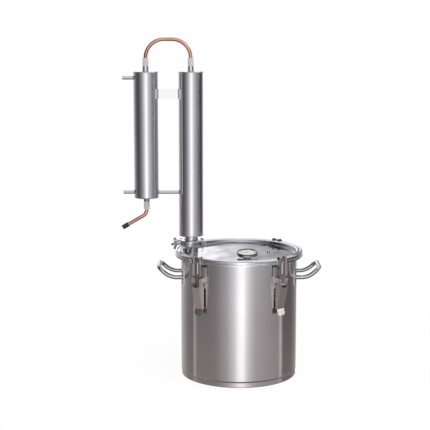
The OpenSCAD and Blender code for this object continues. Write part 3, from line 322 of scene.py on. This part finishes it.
def makeWelds():
    spot, radii, shift = joinSpots, ringRadii, ringShifts
    columnX, condenserX, tubeR = spot["columnX"], spot["condenserX"], spot["tubeR"]
    upward, sideways = (0, 0, 1), (1, 0, 0)
    bm = bmesh.new()
    ringInto(bm, (columnX, 0, spot["plateZ"] + shift["off"]), upward, radii["ferrule"], "ferrule")
    ringInto(bm, (columnX, 0, spot["columnFootZ"] - shift["off"]), upward, radii["ferrule"], "ferrule")
    ringInto(bm, (condenserX, 0, spot["condenserFootZ"] - shift["off"]), upward, radii["stub"], "pipe")
    for x in (columnX, condenserX):
        ringInto(bm, (x, 0, spot["topZ"] + shift["off"]), upward, radii["stub"], "pipe")
    for z in spot["pipeZs"]:
        ringInto(bm, (condenserX - tubeR + shift["into"], 0, z), sideways, radii["pipe"], "pipe")
    for x in (condenserX + tubeR - shift["into"], columnX - tubeR + shift["into"]):
        ringInto(bm, (x, 0, spot["pipeZs"][1]), sideways, radii["pipe"], "pipe")
    for side in (1, -1):
        for leg in (1, -1):
            out = math.asin(spot["legY"] / spot["shellR"]) * leg
            toward = (side * math.cos(out), math.sin(out), 0)
            ringInto(bm, Vector(toward) * spot["plateR"] + Vector((0, 0, spot["legZ"])), toward, radii["leg"], "leg")
    for x, z in ((columnX, spot["columnFootZ"]), (condenserX, spot["condenserFootZ"])):
        for seamZ in (z + shift["seamIn"], spot["topZ"] - shift["seamIn"]):
            ringInto(bm, (x, 0, seamZ), upward, tubeR - shift["seamSunk"], "seam")
    newPiece("weldBeads", bm, "weldSteel", "still")


makeWelds()

dialFacts = {"place": (20.0, -52.0, 322.7), "tilt": 8, "faceZ": 4.83, "rim": 22.2, "top": 120, "sweep": 270,
             "step": 2, "longEvery": 10, "long": (3.0, 0.5), "short": (1.7, 0.24), "numberEvery": 20,
             "numberR": 15.6, "numberSize": 3.6, "ink": 0.05, "warm": (70, 100), "warmR": (18.2, 19.0),
             "warmSteps": 24}  # mm, degrees and degrees Celsius


def dialPlace():
    facts = dialFacts
    tilt = Matrix.Rotation(math.radians(facts["tilt"]), 4, "X")
    return Matrix.Scale(mm, 4) @ Matrix.Translation(facts["place"]) @ tilt @ Matrix.Translation((0, 0, facts["faceZ"]))


def dialTurn(value):
    return math.radians(180 - dialFacts["sweep"] * value / dialFacts["top"])


def onDial(radius, value):
    return radius * math.cos(dialTurn(value)), radius * math.sin(dialTurn(value)), 0


def printOn(name, bm, finish):  # flat shapes in mm on the dial's face become thin print
    for face in bm.faces:
        face.normal_update()
        if face.normal.z < 0:
            face.normal_flip()
    bmesh.ops.solidify(bm, geom=bm.faces[:], thickness=-dialFacts["ink"])
    bmesh.ops.transform(bm, matrix=dialPlace(), verts=bm.verts)
    newPiece(name, bm, finish, "still", smooth=False)


def makeDial():
    facts = dialFacts
    bm = bmesh.new()
    for value in range(0, facts["top"] + 1, facts["step"]):
        length, width = facts["short"] if value % facts["longEvery"] else facts["long"]
        tick = bmesh.ops.create_grid(bm, x_segments=1, y_segments=1, size=0.5)["verts"]
        bmesh.ops.scale(bm, vec=(length, width, 1), verts=tick)
        bmesh.ops.translate(bm, vec=(facts["rim"] - length / 2, 0, 0), verts=tick)
        bmesh.ops.rotate(bm, matrix=Matrix.Rotation(dialTurn(value), 3, "Z"), verts=tick)
    for value in range(0, facts["top"] + 1, facts["numberEvery"]):
        words = bpy.data.curves.new("number", "FONT")
        words.body = str(value)
        words.size = facts["numberSize"]
        words.align_x, words.align_y = "CENTER", "CENTER"
        holder = bpy.data.objects.new("number", words)
        shape = bpy.data.meshes.new_from_object(holder)
        shape.transform(Matrix.Translation(onDial(facts["numberR"], value)))
        bm.from_mesh(shape)
        bpy.data.objects.remove(holder)
        bpy.data.curves.remove(words)
        bpy.data.meshes.remove(shape)
    printOn("dialMarks", bm, "needleBlack")
    bm = bmesh.new()  # the warm part of the scale
    first, last = facts["warm"]
    span = [bm.verts.new(onDial(radius, first)) for radius in facts["warmR"]]
    edge = bm.edges.new(span)
    sweep = dialTurn(last) - dialTurn(first)
    bmesh.ops.spin(bm, geom=span + [edge], axis=(0, 0, 1), angle=sweep, steps=facts["warmSteps"])
    printOn("dialArc", bm, "dialRed")


makeDial()

threadFacts = {"joint": (-123.5, 0.0, 345.0), "turn": -25, "boltX": -34.0, "from": 24.5, "pitch": 1.0, "turns": 16,
               "stepsPerTurn": 20, "profile": ((3.1, 0), (3.5, 0.42), (3.5, 0.5), (3.1, 0.92))}  # mm and degrees


def makeThread():
    facts = threadFacts
    bm = bmesh.new()
    line = [bm.verts.new((radius, 0, z)) for radius, z in facts["profile"]]
    edges = [bm.edges.new(pair) for pair in zip(line, line[1:])]
    bmesh.ops.spin(bm, geom=line + edges, axis=(0, 0, 1), dvec=(0, 0, facts["pitch"] / facts["stepsPerTurn"]),
                   angle=facts["turns"] * 2 * math.pi, steps=facts["turns"] * facts["stepsPerTurn"])
    clampTurn = Matrix.Rotation(math.radians(facts["turn"]), 4, "Z")
    boltEnd = Matrix.Translation((facts["boltX"], -facts["from"], 0)) @ Matrix.Rotation(math.pi / 2, 4, "X")
    place = Matrix.Scale(mm, 4) @ Matrix.Translation(facts["joint"]) @ clampTurn @ boltEnd
    bmesh.ops.transform(bm, matrix=place, verts=bm.verts)
    newPiece("boltThread", bm, "brightSteel", "still")


makeThread()
print("details made: welds, dial, thread")

studio = {  # rings: mirrored brightness, by degrees from the camera's side, right is positive
    "rings": {
        "below": [(-180, 0.20), (-140, 0.36), (-100, 0.24), (-78, 0.24), (-55, 0.11), (55, 0.11), (100, 0.12),
                  (140, 0.40), (180, 0.20)],
        "tubes": [(-180, 0.62), (-150, 0.44), (-128, 0.34), (-108, 0.16), (-88, 0.07), (-74, 0.05), (-58, 0.10),
                  (-44, 0.18), (-26, 0.36), (-10, 0.68), (2, 1.0), (9, 1.06), (16, 0.86), (28, 0.55), (48, 0.36),
                  (62, 0.25), (76, 0.13), (92, 0.06), (110, 0.04), (122, 0.09), (140, 0.26), (160, 0.50),
                  (180, 0.62)],
        "boiler": [(-180, 0.40), (-150, 0.34), (-124, 0.13), (-104, 0.10), (-101, 0.42), (-98, 0.42), (-95, 0.15),
                   (-47, 0.165), (-24, 0.34), (-10, 0.66), (0, 1.25), (8, 1.25), (15, 0.70), (23, 0.48),
                   (34, 0.32), (62, 0.275), (88, 0.24), (90, 0.55), (93, 0.55), (96, 0.09), (126, 0.08),
                   (142, 0.14), (160, 0.26), (180, 0.40)],
        "above": [(-180, 0.66), (-178.6, 0.88), (-174, 0.90), (-150, 0.50), (-110, 0.12), (-94, 0.03), (-66, 0.03),
                  (-50, 0.22), (-15, 0.64), (12, 0.66), (56, 0.14), (110, 0.12), (165, 0.15), (175, 0.16),
                  (178, 0.32), (180, 0.66)],
        "high": [(-180, 0.90), (-150, 0.60), (-116, 0.20), (-98, 0.06), (-62, 0.06), (-44, 0.30), (0, 0.50),
                 (44, 0.30), (62, 0.95), (98, 0.95), (116, 0.30), (150, 0.60), (180, 0.90)],
    },
    "tints": {"boiler": (1, 1.055, 1.04)},  # powers of red, green and blue: the room is rosy where it is dark
    "plainTint": (1, 1, 0.985),
    "edges": {"below": (-0.50, -0.34), "table": (-0.292, -0.235), "tubes": (-0.194, -0.188), "above": (0.03, 0.12),
              "high": (0.36, 0.50)},  # where one ring goes over into the next, as the direction's height
    "table": (0.34, 0.305, 0.295),
    "tableShare": 0.32,
    "sideLight": {"up": (0.045, 0.08, 0.125, 0.15), "turn": (70, 76, 88, 94), "level": 3.0},
    "strength": 1.62,
    "fill": 0.62,
}


def roomTint(level, key):
    return tuple(level ** power for power in studio["tints"].get(key, studio["plainTint"]))


def turnShare(angle):
    return (angle + 180) / 360


def makeWorld():
    world = bpy.data.worlds.new("studio")
    bpy.context.scene.world = world
    world.use_nodes = True
    make = Finish(world.node_tree)
    toward = make.add("ShaderNodeTexCoord", out="Generated")
    split = make.add("ShaderNodeSeparateXYZ", values={0: toward}).socket.node
    across, along, upward = (Wire(make, split.outputs[i]) for i in range(3))
    turn = make.add("ShaderNodeMath", {"operation": "ARCTAN2"}, {0: across, 1: 0 - along}) / (2 * math.pi) + 0.5
    rings = {}
    for key, levels in studio["rings"].items():
        stops = [(turnShare(angle), roomTint(level, key)) for angle, level in levels]
        rings[key] = make.add("ShaderNodeValToRGB", {"stops": stops}, {"Fac": turn})

    def over(key):  # 0 under the edge, 1 over it
        return make.smooth(upward, *studio["edges"][key])

    def window(value, steps):
        return make.smooth(value, *steps[:2]) * (1 - make.smooth(value, *steps[2:]))

    tent = make.blend(over("tubes"), rings["boiler"], rings["tubes"])
    tent = make.blend((1 - over("table")) * studio["tableShare"], tent, opaque(studio["table"]))
    tent = make.blend(over("below"), rings["below"], tent)
    tent = make.blend(over("above"), tent, rings["above"])
    tent = make.blend(over("high"), tent, rings["high"])
    side = studio["sideLight"]  # what the right thumb tabs mirror
    patch = window(upward, side["up"]) * window(turn, [turnShare(angle) for angle in side["turn"]])
    tent = make.blend(patch, tent, opaque((side["level"],) * 3))
    ray = make.add("ShaderNodeLightPath").socket.node
    fromCamera = Wire(make, ray.outputs["Is Camera Ray"])
    fromGloss = Wire(make, ray.outputs["Is Glossy Ray"])
    through = Wire(make, ray.outputs["Is Transmission Ray"])
    fill = make.add("ShaderNodeBackground", values={"Color": pureWhite, "Strength": studio["fill"]})
    gloss = make.add("ShaderNodeBackground", values={"Color": tent, "Strength": studio["strength"]})
    white = make.add("ShaderNodeBackground", values={"Color": pureWhite, "Strength": 1.0})
    seen = make.add("ShaderNodeMixShader", values={0: fromGloss, 1: fill, 2: gloss})
    last = make.add("ShaderNodeMixShader", values={0: fromCamera + through * (1 - fromGloss), 1: seen, 2: white})
    make.add("ShaderNodeOutputWorld", values={"Surface": last})


floorFacts = {"half": 14, "near": 0.3, "far": 0.9, "nearWhite": 0.94, "grey": (0.93, 0.93, 0.93)}  # m


def makeFloor():
    facts = floorFacts
    mesh = bpy.data.meshes.new("floor")
    bm = bmesh.new()
    bmesh.ops.create_grid(bm, x_segments=1, y_segments=1, size=facts["half"])
    bm.to_mesh(mesh)
    bm.free()
    floor = bpy.data.objects.new("floor", mesh)
    bpy.context.scene.collection.objects.link(floor)
    floor.visible_glossy = False
    material, make = newFinish("paleFloor")
    ray = make.add("ShaderNodeLightPath", out="Is Camera Ray")
    away = make.add("ShaderNodeVectorMath", {"operation": "LENGTH"}, {0: make.place()}, out="Value")
    whiteness = make.smooth(away, facts["near"], facts["far"], facts["nearWhite"], 1.0)
    matt = make.add("ShaderNodeBsdfDiffuse", values={"Color": opaque(facts["grey"])})
    glow = make.add("ShaderNodeEmission", values={"Color": pureWhite, "Strength": 1.0})
    mixed = make.add("ShaderNodeMixShader", values={0: ray * whiteness, 1: matt, 2: glow})
    make.add("ShaderNodeOutputMaterial", values={"Surface": mixed})
    mesh.materials.append(material)


lamps = [  # name, place, aim, size, watts
    ("topSoftbox", (0.3, -0.6, 2.6), (-0.05, 0, 0.4), (2.4, 2.0), 26),
    ("frontSoftbox", (0.7, -2.8, 1.5), (-0.05, 0, 0.4), (1.6, 1.6), 22),
]


def makeLamps():
    for name, place, aim, size, watts in lamps:
        lamp = bpy.data.lights.new(name, "AREA")
        lamp.shape = "RECTANGLE"
        lamp.size, lamp.size_y = size
        lamp.energy = watts
        holder = bpy.data.objects.new(name, lamp)
        holder.location = place
        holder.rotation_euler = (Vector(aim) - Vector(place)).to_track_quat("-Z", "Y").to_euler()
        holder.visible_glossy = False
        bpy.context.scene.collection.objects.link(holder)


cameraFacts = {"place": (-0.062, -3.059, 0.914), "down": 9.22, "lens": 100.47, "sensor": 36}  # m, degrees, mm


def makeCamera():
    lens = bpy.data.cameras.new("camera")
    lens.sensor_width = cameraFacts["sensor"]
    lens.lens = cameraFacts["lens"]
    holder = bpy.data.objects.new("camera", lens)
    holder.location = cameraFacts["place"]
    holder.rotation_euler = (math.radians(90 - cameraFacts["down"]), 0, 0)
    bpy.context.scene.collection.objects.link(holder)
    bpy.context.scene.camera = holder


makeWorld()
makeFloor()
makeLamps()
makeCamera()
bpy.context.scene.view_settings.view_transform = "Standard"
print("studio ready")
